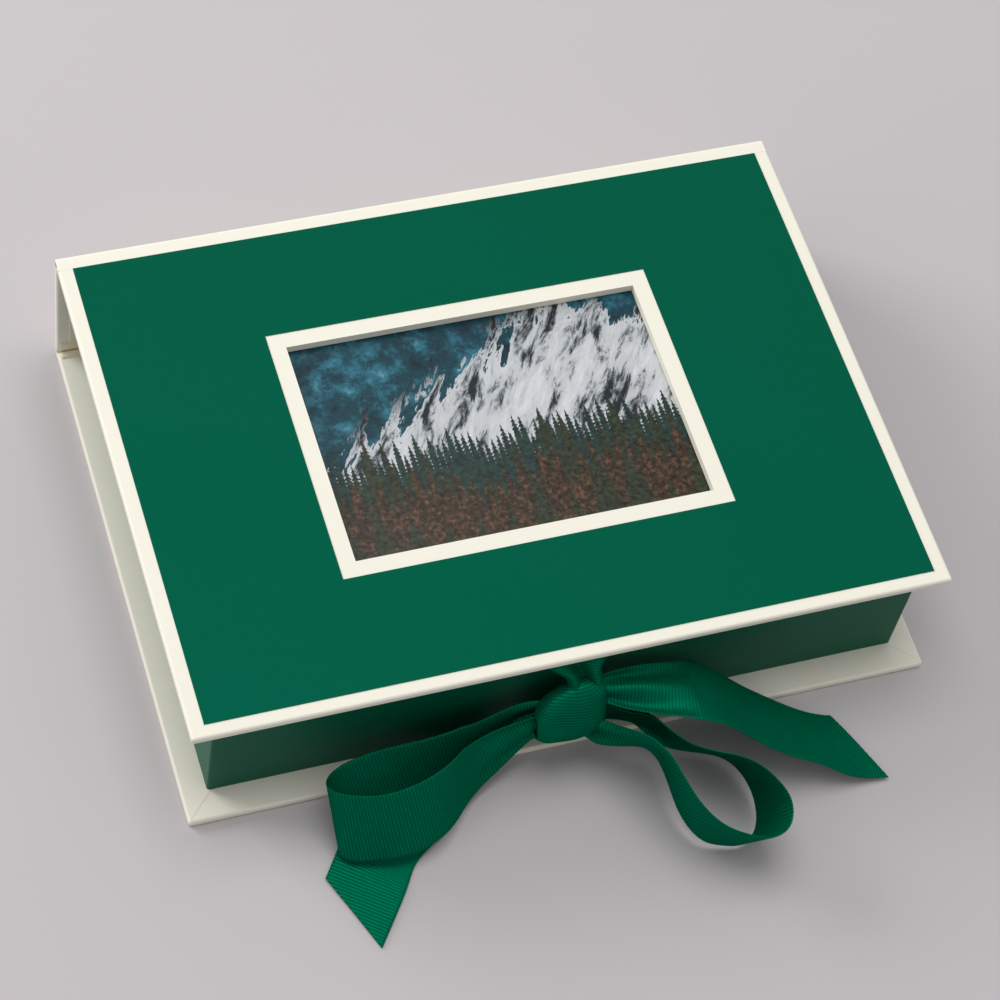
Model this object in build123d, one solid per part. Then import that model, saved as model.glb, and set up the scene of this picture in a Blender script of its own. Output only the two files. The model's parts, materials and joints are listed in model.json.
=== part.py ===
from build123d import *
import os
from math import atan2, degrees, hypot

# Photo storage box of the book-cover kind: a wrapped lid board, a spine and a
# base board joined by two paper joints, a tray glued to the base, a print in a
# pocket behind the lid's window, and a ribbon tied in a bow at the front.
# Millimetres, +Z up, +X along the long side, -Y towards the ribbon.
# The origin is the middle of the underside that the closed box rests on.

# ---- the case: three boards wrapped in one cover paper
base_width = 256.0
base_depth = 189.3          # front edge to the outside of the lower joint
box_height = 51.0
board_thickness = 2.5
paper_thickness = 0.25
board_edge_radius = 0.7     # a wrapped board's edges are worn a little round
turn_in_width = 15.0
mitre_gap = 0.3             # the turn-ins of two sides stop this far apart
mitre_depth = 0.12          # their seam is pressed shut below this depth
lid_front_setback = 4.5     # lid edge behind the base edge
joint_radius = 1.5
joint_wall = 0.5
joint_gap = 0.3
spine_lean = 2.3            # the spine's top stands this far behind its foot

# ---- the lid's window, its coloured panel and its pocket
panel_width = 246.0
panel_depth = 177.0
panel_front_margin = 4.5
panel_thickness = 0.2
window_width = 123.0
window_depth = 85.0
window_frame_width = 5.7
window_turn_in = 12.0
print_width = 127.0
print_depth = 89.0
print_thickness = 0.3
print_clearance = 0.05
pocket_side_clearance = 0.5
pocket_rail_width = 8.0
pocket_backing_thickness = 0.8
thumb_notch_radius = 9.0
liner_inset = 4.5

# ---- the tray
base_front_margin = 10.1
base_side_margin = 8.5
tray_depth = 172.5
tray_wall = 2.0
tray_corner_radius = 1.0
tray_under_turn = 12.0
tray_rim_turn = 4.0
lid_rest_gap = 0.1

# ---- the ribbon
ribbon_width = 25.0
ribbon_thickness = 0.6
ribbon_tab_length = 18.0
ribbon_tab_gap = 0.1
knot_width = 24.0
knot_height = 22.0
knot_depth = 10.0
knot_roundness = 0.96       # share of a section's half depth that its corner radius takes
knot_corners = 28           # flat facets round the knot
knot_tilt = 22.0            # the knot leans back against the box
knot_aside = -4.0           # the knot's middle is a little to the left of the box's
knot_stand_off = 11.0       # in front of the tray
knot_drop = 21.3            # below the lid's underside
drawn_knot_height = 26.7    # the stations of the ribbons are drawn for a knot this high
knot_gather = 0.34          # share of the ribbon's width left where the knot grips it
gather_length = 32.0        # the ribbon is flat again this far from the knot
left_tail_gather = 52.0     # the left tail stays gathered longer, under its loop
ribbon_facet_step = 4.0     # a ribbon is straight over about this length
tail_cut_run = 15.0         # one edge of a tail runs on past the other
lead_bend_room = 1.2        # the lid's lead bends down within this length
lead_bend_drop = 0.6
lead_knot_gap = 1.3         # the lid's lead ends this far above the knot
lead_grip = 1.5             # the base's lead runs this far up into the knot
base_lead_flat = 3.0        # length of the base's lead that lies on the base
base_lead_rise = 0.1
base_lead_sag = 2.0

# ---- places worked out from the sizes above
half_width = base_width / 2
base_front = -base_depth / 2
base_back = base_depth / 2
slab_thickness = board_thickness + 2 * paper_thickness
lower_joint = (base_back - joint_radius, joint_radius)
upper_joint = (lower_joint[0] + spine_lean, box_height - joint_radius)
slab_end = joint_radius + joint_gap
lid_front = base_front + lid_front_setback
lid_back = upper_joint[0] - slab_end
lid_under = box_height - slab_thickness
liner_under = lid_under - paper_thickness
panel_middle = lid_front + panel_front_margin + panel_depth / 2
tray_half = half_width - base_side_margin
tray_front = base_front + base_front_margin
tray_back = tray_front + tray_depth
tray_under = slab_thickness
tray_top = liner_under - lid_rest_gap
spine_length = hypot(upper_joint[0] - lower_joint[0], upper_joint[1] - lower_joint[1])
spine_angle = degrees(atan2(spine_lean, upper_joint[1] - lower_joint[1]))
knot_middle = Vector(knot_aside, tray_front - knot_stand_off, lid_under - knot_drop)
knot_up = Vector(0, 0, 1).rotate(Axis.X, -knot_tilt)
bow_lift = knot_middle.Z / drawn_knot_height


def block(x_low, x_high, y_low, y_high, z_low, z_high):
    """A plain block between two corners."""
    size = (x_high - x_low, y_high - y_low, z_high - z_low)
    middle = ((x_low + x_high) / 2, (y_low + y_high) / 2, (z_low + z_high) / 2)
    return Pos(*middle) * Box(*size)


def wrapped_block(half, front, back, under, top, radius):
    """A slab rounded on every edge but those of its joint end at the back."""
    slab = block(-half, half, front, back, under, top)
    edges = slab.edges().filter_by(lambda edge: edge.center().Y < back - radius / 2)
    return fillet(edges, radius)


def board_in(half, front, back, under, top):
    """The board inside a wrapped slab: bare at the joint end, papered elsewhere."""
    skin = paper_thickness
    return wrapped_block(half - skin, front + skin, back, under + skin, top - skin, board_edge_radius)


def mitre_seams(half, front, z_low, z_high):
    """Thin diagonal cuts where the turn-ins of two sides meet at a front corner."""
    reach = turn_in_width * 2
    seams = []
    for side in (-1, 1):
        seam = Box(reach, mitre_gap, z_high - z_low)
        place = Pos(side * half, front, (z_low + z_high) / 2) * Rot(0, 0, 90 + side * 45)
        seams.append(place * seam)
    return seams


def window_block(growth, z_low, z_high):
    """A block over the lid's window, larger than it by `growth` on every side."""
    half_x = window_width / 2 + growth
    half_y = window_depth / 2 + growth
    return block(-half_x, half_x, panel_middle - half_y, panel_middle + half_y, z_low, z_high)


# ---- ribbon helpers -------------------------------------------------------

def smooth_line(points, shares):
    """A spline through points that come at the given shares of its length."""
    return Edge.make_spline([Vector(*point) for point in points], parameters=shares)


def faceted_bar(sections):
    """A solid of flat triangles between sections of equally many corners, with flat ends."""
    corners = len(sections[0])
    faces = []
    for (here, there) in zip(sections, sections[1:]):
        for side in range(corners):
            after = (side + 1) % corners
            faces.append(Face(Wire.make_polygon([here[side], here[after], there[after]])))
            faces.append(Face(Wire.make_polygon([here[side], there[after], there[side]])))
    faces.append(Face(Wire.make_polygon(list(reversed(sections[0])))))
    faces.append(Face(Wire.make_polygon(sections[-1])))
    return Solid(Shell(faces))


def ribbon_strip(stations, knot_ends, gathered=gather_length, cut_run=0.0):
    """A ribbon as thin sections joined by flat facets.

    Each station is the ribbon's middle and the way its crosswise ribs point.
    Heights rise and fall with the knot.
    Towards the knot it is gathered, so narrower and thicker. With a `cut_run`
    the last section is slanted, as scissors cut it.
    """
    middles = [Vector(x, tray_front + y, z * bow_lift) for ((x, y, z), rib) in stations]
    runs = [0.0]
    for (here, there) in zip(middles, middles[1:]):
        runs.append(runs[-1] + (there - here).length)
    shares = [run / runs[-1] for run in runs]
    path = smooth_line(middles, shares)
    ribs = smooth_line([rib for (middle, rib) in stations], shares)
    count = round(path.length / ribbon_facet_step)
    sections = []
    for index in range(count + 1):
        share = index / count
        from_knot = share if knot_ends == 1 else min(share, 1 - share)
        flat_share = min(1.0, from_knot * path.length / gathered)
        spread = knot_gather + (1 - knot_gather) * flat_share
        along = path % share
        rib = (ribs @ share).normalized()
        run_past = along * (cut_run / 2) if index == count else Vector(0, 0, 0)
        edge = rib * (ribbon_width * spread / 2) - run_past
        face = along.cross(rib).normalized() * (ribbon_thickness / spread / 2)
        middle = path @ share
        sections.append([middle - edge - face, middle + edge - face,
                         middle + edge + face, middle - edge + face])
    return faceted_bar(sections)


def lead_strip(stations):
    """A short lead: flat sections (middle, width, way it runs) joined in turn."""
    sections = []
    for (middle, width, running) in stations:
        plane = Plane(origin=middle, x_dir=(1, 0, 0), z_dir=running)
        sections.append(plane * Rectangle(width, ribbon_thickness))
    return loft(sections, ruled=True)


# ---- base board and its paper --------------------------------------------

base_slab_back = lower_joint[0] - slab_end


def base_board():
    return board_in(half_width, base_front, base_slab_back, 0, slab_thickness)


def base_cover_paper():
    radius = board_edge_radius + paper_thickness
    wrap = wrapped_block(half_width, base_front, base_slab_back, 0, slab_thickness, radius)
    wrap -= base_board()
    inner_half = half_width - turn_in_width
    wrap -= block(-inner_half, inner_half, base_front + turn_in_width, base_slab_back,
                  slab_thickness - paper_thickness, slab_thickness)
    for seam in mitre_seams(half_width, base_front, slab_thickness - mitre_depth, slab_thickness):
        wrap -= seam
    return wrap


def base_infill_sheet():
    inner_half = half_width - turn_in_width - mitre_gap
    return block(-inner_half, inner_half, base_front + turn_in_width + mitre_gap, base_slab_back,
                 slab_thickness - paper_thickness, slab_thickness)


# ---- joints ---------------------------------------------------------------

def joint_roll(centre):
    """The folded joint paper, a thin roll along the back edge."""
    roll = Cylinder(joint_radius, base_width - 2 * paper_thickness)
    roll -= Cylinder(joint_radius - joint_wall, base_width)
    return Pos(0, centre[0], centre[1]) * Rot(0, 90, 0) * roll


# ---- spine ----------------------------------------------------------------

def leaning(piece):
    """Tip a piece that was drawn upright on the lower joint's axis."""
    return Pos(0, lower_joint[0], lower_joint[1]) * Rot(-spine_angle, 0, 0) * piece


spine_face = joint_radius
spine_inside = joint_radius - slab_thickness


def spine_core():
    skin = paper_thickness
    core = block(-half_width + skin, half_width - skin, spine_inside + skin, spine_face - skin,
                 slab_end, spine_length - slab_end)
    edges = core.edges().filter_by(Axis.Z)
    return fillet(edges, board_edge_radius)


def spine_cover_paper():
    wrap = block(-half_width, half_width, spine_inside, spine_face, slab_end, spine_length - slab_end)
    wrap = fillet(wrap.edges().filter_by(Axis.Z), board_edge_radius + paper_thickness)
    wrap -= spine_core()
    inner_half = half_width - turn_in_width
    wrap -= block(-inner_half, inner_half, spine_inside, spine_inside + paper_thickness,
                  slab_end, spine_length - slab_end)
    return leaning(wrap)


def spine_liner_paper():
    inner_half = half_width - liner_inset
    liner = block(-inner_half, inner_half, spine_inside - paper_thickness, spine_inside,
                  slab_end + liner_inset, spine_length - slab_end - liner_inset)
    return leaning(liner)


# ---- lid ------------------------------------------------------------------

def ribbon_tab(under, front, growth=0.0):
    """The glued end of a ribbon lead, `growth` larger for the recess it lies in."""
    half = ribbon_width / 2 + growth
    return block(-half, half, front, front + ribbon_tab_length + growth, under, under + ribbon_thickness)


lid_tab_front = lid_front + liner_inset


def lid_tab_recess():
    half = ribbon_width / 2 + ribbon_tab_gap
    bend = block(-half, half, lid_tab_front - lead_bend_room, lid_tab_front, lid_under,
                 lid_under + ribbon_thickness)
    return ribbon_tab(lid_under, lid_tab_front, ribbon_tab_gap) + bend


def lid_slab_board():
    board = board_in(half_width, lid_front, lid_back, lid_under, box_height)
    return board - window_block(paper_thickness, lid_under, box_height)


def lid_board():
    return lid_slab_board() - lid_tab_recess()


def lid_cover_paper():
    radius = board_edge_radius + paper_thickness
    wrap = wrapped_block(half_width, lid_front, lid_back, lid_under, box_height, radius)
    wrap -= lid_slab_board()
    wrap -= window_block(0, lid_under - 1, box_height + 1)
    inner_half = half_width - turn_in_width
    bare = block(-inner_half, inner_half, lid_front + turn_in_width, lid_back,
                 lid_under, lid_under + paper_thickness)
    bare -= window_block(window_turn_in, lid_under, lid_under + paper_thickness)
    wrap -= bare
    wrap -= lid_tab_recess()
    for seam in mitre_seams(half_width, lid_front, lid_under, lid_under + mitre_depth):
        wrap -= seam
    return wrap


def lid_panel_paper():
    sheet = block(-panel_width / 2, panel_width / 2, panel_middle - panel_depth / 2,
                  panel_middle + panel_depth / 2, box_height, box_height + panel_thickness)
    return sheet - window_block(window_frame_width, box_height - 1, box_height + 1)


def lid_liner_paper():
    inner_half = half_width - liner_inset
    sheet = block(-inner_half, inner_half, lid_tab_front, lid_back - liner_inset, liner_under, lid_under)
    return sheet - window_block(pocket_side_clearance, liner_under - 1, lid_under + 1)


print_top = liner_under - print_clearance
spacer_thickness = print_thickness + 2 * print_clearance
spacer_under = liner_under - spacer_thickness
pocket_half_x = print_width / 2 + pocket_side_clearance
pocket_half_y = print_depth / 2 + pocket_side_clearance


def pocket_spacer():
    """A flat rail on three sides of the print; the side towards +X stays open."""
    rail = pocket_rail_width
    frame = block(-pocket_half_x - rail, pocket_half_x, panel_middle - pocket_half_y - rail,
                  panel_middle + pocket_half_y + rail, spacer_under, liner_under)
    return frame - block(-pocket_half_x, pocket_half_x + rail, panel_middle - pocket_half_y,
                         panel_middle + pocket_half_y, spacer_under, liner_under)


def pocket_backing():
    """The card that closes the pocket, with a thumb notch at its open side."""
    rail = pocket_rail_width
    card = block(-pocket_half_x - rail, pocket_half_x, panel_middle - pocket_half_y - rail,
                 panel_middle + pocket_half_y + rail, spacer_under - pocket_backing_thickness, spacer_under)
    notch = Cylinder(thumb_notch_radius, 4 * board_thickness)
    return card - Pos(pocket_half_x, panel_middle, spacer_under) * notch


def photo_print():
    return block(-print_width / 2, print_width / 2, panel_middle - print_depth / 2,
                 panel_middle + print_depth / 2, print_top - print_thickness, print_top)


# ---- tray -----------------------------------------------------------------

board_half = tray_half - paper_thickness
board_front = tray_front + paper_thickness
board_back = tray_back - paper_thickness
board_under = tray_under + paper_thickness
board_top = tray_top - paper_thickness
inside_half = board_half - tray_wall
inside_front = board_front + tray_wall
inside_back = board_back - tray_wall
floor_top = board_under + tray_wall


def standing_edges(solid):
    return solid.edges().filter_by(Axis.Z)


def tray_tab(growth=0.0):
    return ribbon_tab(tray_under, tray_front, growth)


def tray_long_wall(at_front):
    """The front or back wall, the full width of the tray, rounded at its ends."""
    low = board_front if at_front else inside_back
    wall = block(-board_half, board_half, low, low + tray_wall, board_under, board_top)
    outer = board_front if at_front else board_back
    ends = standing_edges(wall).filter_by(lambda edge: abs(edge.center().Y - outer) < tray_wall / 2)
    wall = fillet(ends, tray_corner_radius - paper_thickness)
    return wall - tray_tab(ribbon_tab_gap)


def tray_side_wall(side):
    """A short wall between the two long ones, at the left (-1) or right (1)."""
    low = -board_half if side < 0 else inside_half
    return block(low, low + tray_wall, inside_front, inside_back, board_under, board_top)


def tray_floor_board():
    floor = block(-inside_half, inside_half, inside_front, inside_back, board_under, floor_top)
    return floor - tray_tab(ribbon_tab_gap)


def tray_cover_paper():
    """The outside paper: under the tray, up the walls, over the rim and a little down inside."""
    skin = paper_thickness
    wrap = block(-tray_half, tray_half, tray_front, tray_back, tray_under, tray_top)
    wrap = fillet(standing_edges(wrap), tray_corner_radius)
    core = block(-board_half, board_half, board_front, board_back, board_under, board_top)
    core = fillet(standing_edges(core), tray_corner_radius - skin)
    opening = block(-inside_half, inside_half, inside_front, inside_back, board_under, tray_top)
    lip = block(-inside_half, inside_half, inside_front, inside_back, tray_top - tray_rim_turn, tray_top)
    lip -= block(-inside_half + skin, inside_half - skin, inside_front + skin, inside_back - skin,
                 tray_top - tray_rim_turn, tray_top)
    wrap = wrap - core - opening + lip
    under = tray_under_turn
    wrap -= block(-tray_half + under, tray_half - under, tray_front + under, tray_back - under,
                  tray_under, board_under)
    return wrap - tray_tab(ribbon_tab_gap)


def tray_wall_lining():
    skin = paper_thickness
    top = tray_top - tray_rim_turn
    ring = block(-inside_half, inside_half, inside_front, inside_back, floor_top, top)
    return ring - block(-inside_half + skin, inside_half - skin, inside_front + skin,
                        inside_back - skin, floor_top, top)


def tray_floor_lining():
    skin = paper_thickness
    return block(-inside_half + skin, inside_half - skin, inside_front + skin, inside_back - skin,
                 floor_top, floor_top + skin)


# ---- ribbon and bow -------------------------------------------------------
# Stations of the ribbons: the middle of the width, measured from the foot of the
# tray's front, then the way the ribs point.

left_loop_stations = [
    ((-15.0, -7.75, 25.2), (0, 1.5, 8)),
    ((-26.5, -9.45, 17.6), (-3.3, 4.5, 15)),
    ((-38.0, -13.65, 16.4), (-4, 7.4, 20)),
    ((-51.0, -16.45, 15.0), (-5, 14, 20)),
    ((-66.8, -17.15, 12.2), (-4, 19.5, 15.3)),
    ((-75.6, -18.55, 11.3), (-4, 19.4, 15.4)),
    ((-82.2, -21.25, 11.4), (-3, 17.8, 17.4)),
    ((-84.8, -23.95, 12.2), (-1.4, 16.3, 19)),
    ((-83.4, -26.85, 13.0), (-1.7, 15.5, 19.6)),
    ((-79.0, -29.55, 14.3), (-2.8, 14.3, 20.4)),
    ((-72.8, -31.65, 15.6), (-3.6, 13.1, 21)),
    ((-59.2, -31.85, 17.4), (-4.5, 11.6, 21.8)),
    ((-47.5, -26.95, 17.9), (-4, 8.5, 23.2)),
    ((-37.5, -19.75, 17.6), (-2.7, 5.7, 22)),
    ((-26.7, -14.65, 18.3), (-3, 6.3, 15.4)),
    ((-15.0, -12.45, 22.8), (0, 2, 7.5)),
]

right_loop_stations = [
    ((6.0, -10.45, 19.8), (0, 0, 8)),
    ((16.3, -13.35, 19.5), (-2.3, -4.1, 11.6)),
    ((22.0, -18.35, 20.1), (-2, -4, 16.4)),
    ((27.1, -24.45, 19.3), (-2.9, -5.7, 20.5)),
    ((33.4, -29.35, 18.9), (-4.6, -8.8, 22.9)),
    ((40.4, -32.95, 19.0), (-4.8, -9.9, 22.4)),
    ((46.5, -36.65, 18.8), (-3.9, -9.2, 23)),
    ((51.0, -41.65, 17.7), (-1.6, -7.9, 23.7)),
    ((53.9, -48.05, 15.9), (1.4, -7.1, 24)),
    ((54.5, -55.25, 14.1), (4.7, -7.1, 23.5)),
    ((51.6, -61.15, 13.0), (4.8, -9.4, 22.8)),
    ((45.5, -63.75, 13.2), (3.4, -9.7, 23.3)),
    ((38.7, -62.25, 14.0), (2.8, -8.7, 23.3)),
    ((32.9, -59.45, 15.4), (1.9, -7.7, 23.7)),
    ((26.4, -49.35, 18.5), (0, -8.4, 23.5)),
    ((23.7, -37.05, 22.0), (-2.7, -8.5, 23.4)),
    ((19.2, -26.75, 24.2), (-2.8, -6.4, 17.4)),
    ((13.5, -21.95, 22.0), (-1.4, -3.1, 14.6)),
    ((5.5, -16.45, 18.0), (0, 1, 8)),
]

right_tail_stations = [
    ((6.0, -8.95, 34.2), (0, 6.3, 10.8)),
    ((17.3, -11.95, 34.8), (3.6, 16.9, 4.9)),
    ((27.0, -14.15, 34.5), (4.5, 20.9, -0.7)),
    ((35.9, -15.95, 33.2), (4.3, 23.2, -4.7)),
    ((43.3, -18.05, 30.3), (4, 23.9, -6.2)),
    ((55.2, -22.55, 21.8), (3.7, 23.8, -6.6)),
    ((66.4, -26.65, 14.3), (3.5, 23.9, -6.3)),
    ((80.3, -31.05, 7.1), (3, 23.6, -7)),
    ((88.8, -33.45, 3.5), (3.3, 24, -4)),
    ((95.5, -34.35, 2.0), (3.5, 24.5, -1.5)),
]

left_tail_stations = [
    ((-11.5, -15.0, 20.0), (0, 3.5, 1.5)),
    ((-16.5, -16.6, 13.4), (-1, 5, 0.2)),
    ((-23.5, -16.0, 8.2), (-2, 12, 1)),
    ((-33.0, -14.8, 4.9), (-4.5, 19, 2.2)),
    ((-43.0, -14.45, 3.9), (-8, 23, 2)),
    ((-57.5, -22.25, 2.1), (-12, 21.5, 2.0)),
    ((-68.2, -29.65, 1.3), (-14.5, 20, 0.6)),
    ((-75.5, -38.95, 1.2), (-18.5, 15.5, 0.2)),
    ((-84.9, -51.65, 0.8), (-19.7, 15.2, 0)),
]


# Sections of the knot from left to right: the share of its width across, how far
# its middle lies up and forward, then the shares of the knot's height and depth.
knot_sections = [
    (-0.500, -2.6, 1.4, 0.24, 0.30),
    (-0.470, -2.3, 1.3, 0.44, 0.56),
    (-0.390, -1.6, 1.0, 0.64, 0.76),
    (-0.200, -0.7, 0.4, 0.86, 0.92),
    (0.040, 0.1, 0.0, 1.00, 1.00),
    (0.260, 0.8, -0.2, 1.00, 1.00),
    (0.400, 1.7, 0.0, 0.88, 0.88),
    (0.467, 2.6, 0.3, 0.72, 0.70),
    (0.500, 2.9, 0.4, 0.54, 0.46),
]


def bow_knot():
    """A band of ribbon pulled tight round the crossing, slimmer at its left end."""
    sections = []
    for (across, up, forward, height_share, depth_share) in knot_sections:
        depth = knot_depth * depth_share
        section = RectangleRounded(depth, knot_height * height_share, knot_roundness * depth / 2)
        plane = Plane(origin=(across * knot_width, -forward, up), x_dir=(0, 1, 0), z_dir=(1, 0, 0))
        outline = (plane * section).wire()
        sections.append([outline @ (step / knot_corners) for step in range(knot_corners)])
    return Pos(knot_middle) * Rot(-knot_tilt, 0, 0) * faceted_bar(sections)


def gripped(piece):
    """A ribbon cut back to the face of the knot that grips it."""
    return piece - bow_knot()


def lid_ribbon_lead():
    """Glued under the lid's lining, it turns down over the tray wall to the knot."""
    start = Vector(0, lid_tab_front, lid_under + ribbon_thickness / 2)
    bend = start - Vector(0, lead_bend_room, lead_bend_drop)
    end = knot_middle + knot_up * (knot_height / 2 + lead_knot_gap)
    down = (0, (end - bend).Y, (end - bend).Z)
    strip = lead_strip([(start, ribbon_width, (0, -1, 0)),
                        (bend, ribbon_width, (0, -1, -1)),
                        (bend + (end - bend) * 0.35, ribbon_width * 0.8, down),
                        (end, ribbon_width * 0.5, down)])
    return ribbon_tab(lid_under, lid_tab_front) + strip


def base_ribbon_lead():
    """Glued under the tray's floor, it comes out over the base board and rises to the knot."""
    start = Vector(0, tray_front, tray_under + ribbon_thickness / 2)
    flat_end = start + Vector(0, -base_lead_flat, base_lead_rise)
    end = knot_middle - knot_up * (knot_height / 2 - lead_grip)
    rise = flat_end + (end - flat_end) * 0.45 - Vector(0, 0, base_lead_sag)
    strip = lead_strip([(start, ribbon_width, (0, -1, 0)),
                        (flat_end, ribbon_width, (0, -1, 0.1)),
                        (rise, ribbon_width * 0.75, (0, -1, 0.75)),
                        (end, ribbon_width * 0.5, (0, -0.6, 1))])
    return gripped(ribbon_tab(tray_under, tray_front) + strip)


parts = {
    "base_board": base_board(),
    "base_cover_paper": base_cover_paper(),
    "base_infill_sheet": base_infill_sheet(),
    "lower_joint_strip": joint_roll(lower_joint),
    "spine_board": leaning(spine_core()),
    "spine_cover_paper": spine_cover_paper(),
    "spine_liner_paper": spine_liner_paper(),
    "upper_joint_strip": joint_roll(upper_joint),
    "lid_board": lid_board(),
    "lid_cover_paper": lid_cover_paper(),
    "lid_panel_paper": lid_panel_paper(),
    "lid_liner_paper": lid_liner_paper(),
    "pocket_spacer": pocket_spacer(),
    "pocket_backing": pocket_backing(),
    "photo_print": photo_print(),
    "tray_floor_board": tray_floor_board(),
    "tray_front_wall": tray_long_wall(True),
    "tray_back_wall": tray_long_wall(False),
    "tray_left_wall": tray_side_wall(-1),
    "tray_right_wall": tray_side_wall(1),
    "tray_cover_paper": tray_cover_paper(),
    "tray_wall_lining": tray_wall_lining(),
    "tray_floor_lining": tray_floor_lining(),
    "lid_ribbon_lead": lid_ribbon_lead(),
    "base_ribbon_lead": base_ribbon_lead(),
    "bow_knot": bow_knot(),
    "bow_left_loop": gripped(ribbon_strip(left_loop_stations, 2)),
    "bow_right_loop": gripped(ribbon_strip(right_loop_stations, 2)),
    "bow_left_tail": gripped(ribbon_strip(left_tail_stations, 1, left_tail_gather, tail_cut_run)),
    "bow_right_tail": gripped(ribbon_strip(right_tail_stations, 1, gather_length, tail_cut_run)),
}

os.makedirs("parts", exist_ok=True)
for name, solid in parts.items():
    export_step(solid, f"parts/{name}.step")
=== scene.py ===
"""Dresses the photo storage box: wrapped boards, a green panel, a print in a window, and a grosgrain bow.

Laid out as an add-on and run as a script. All lengths are metres in the box's own frame:
+Z up, +X along the long side, -Y towards the bow, the origin under the middle of the box.
"""
import json
import math

import bpy
import numpy as np
from mathutils import Matrix


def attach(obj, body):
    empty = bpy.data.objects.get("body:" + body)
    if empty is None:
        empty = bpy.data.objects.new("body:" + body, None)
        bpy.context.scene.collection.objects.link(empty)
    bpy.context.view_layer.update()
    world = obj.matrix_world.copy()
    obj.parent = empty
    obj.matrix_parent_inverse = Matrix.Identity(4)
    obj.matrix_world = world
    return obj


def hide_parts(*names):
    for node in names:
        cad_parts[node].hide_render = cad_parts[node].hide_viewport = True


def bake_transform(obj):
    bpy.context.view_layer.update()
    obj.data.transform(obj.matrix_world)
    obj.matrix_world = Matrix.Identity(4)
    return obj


bl_info = {
    "name": "Photo Storage Box",
    "version": (1, 0, 0),
    "blender": (4, 5, 0),
    "location": "View3D > Sidebar > Photo Box",
    "description": "Finishes and soft pieces of a book-cover photo box with a ribbon bow",
    "category": "Object",
}

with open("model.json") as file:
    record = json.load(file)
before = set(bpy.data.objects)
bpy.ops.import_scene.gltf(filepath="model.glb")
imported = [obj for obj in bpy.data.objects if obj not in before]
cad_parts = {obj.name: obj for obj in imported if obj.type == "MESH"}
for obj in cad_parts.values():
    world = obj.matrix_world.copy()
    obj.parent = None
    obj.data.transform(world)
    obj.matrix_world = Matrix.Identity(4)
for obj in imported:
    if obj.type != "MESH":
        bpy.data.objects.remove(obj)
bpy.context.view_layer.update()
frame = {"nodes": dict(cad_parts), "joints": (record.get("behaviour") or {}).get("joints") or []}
nodes = frame["nodes"]


def linear(hex_colour):
    """An sRGB hex colour as linear red, green and blue: ((c + 0.055) / 1.055) ^ 2.4,
    or c / 12.92 when it is dark."""
    parts = [int(hex_colour[i:i + 2], 16) / 255 for i in (1, 3, 5)]
    return tuple(c / 12.92 if c <= 0.04045 else ((c + 0.055) / 1.055) ** 2.4 for c in parts)


# ---- settings -------------------------------------------------------------

class PaperSettings(bpy.types.PropertyGroup):
    cover_colour: bpy.props.FloatVectorProperty(
        name="Cover paper", description="Colour of the cream paper round the boards",
        subtype="COLOR", default=linear("#ebe7d9"), min=0, max=1)
    green_colour: bpy.props.FloatVectorProperty(
        name="Green paper", description="Colour of the lid panel and of the tray's outside",
        subtype="COLOR", default=linear("#005139"), min=0, max=1)
    lining_colour: bpy.props.FloatVectorProperty(
        name="Lining paper", description="Colour of the paper inside the lid and the tray",
        subtype="COLOR", default=linear("#f3e8cc"), min=0, max=1)
    board_colour: bpy.props.FloatVectorProperty(
        name="Grey board", description="Colour of the board's bare cut edges",
        subtype="COLOR", default=linear("#8d877c"), min=0, max=1)
    joint_thickness: bpy.props.FloatProperty(
        name="Joint paper", description="Thickness of the folded paper in the two joints",
        subtype="DISTANCE", unit="LENGTH", default=0.0005, min=0.0001, max=0.001, precision=5)


class RibbonSettings(bpy.types.PropertyGroup):
    colour: bpy.props.FloatVectorProperty(
        name="Ribbon", description="Colour of the grosgrain where its ribs catch the light",
        subtype="COLOR", default=linear("#006f50"), min=0, max=1)
    width: bpy.props.FloatProperty(
        name="Width", description="Width of the ribbon when it lies flat",
        subtype="DISTANCE", unit="LENGTH", default=0.025, min=0.01, max=0.05, precision=4)
    thickness: bpy.props.FloatProperty(
        name="Thickness", description="Thickness of the ribbon between its ribs",
        subtype="DISTANCE", unit="LENGTH", default=0.0004, min=0.0001, max=0.001, precision=5)
    rib_pitch: bpy.props.FloatProperty(
        name="Rib pitch", description="From one crosswise rib to the next, along the ribbon",
        subtype="DISTANCE", unit="LENGTH", default=0.0011, min=0.0006, max=0.003, precision=5)
    rib_height: bpy.props.FloatProperty(
        name="Rib height", description="How far a rib stands above the hollow beside it",
        subtype="DISTANCE", unit="LENGTH", default=0.00022, min=0, max=0.0006, precision=5)


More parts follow.
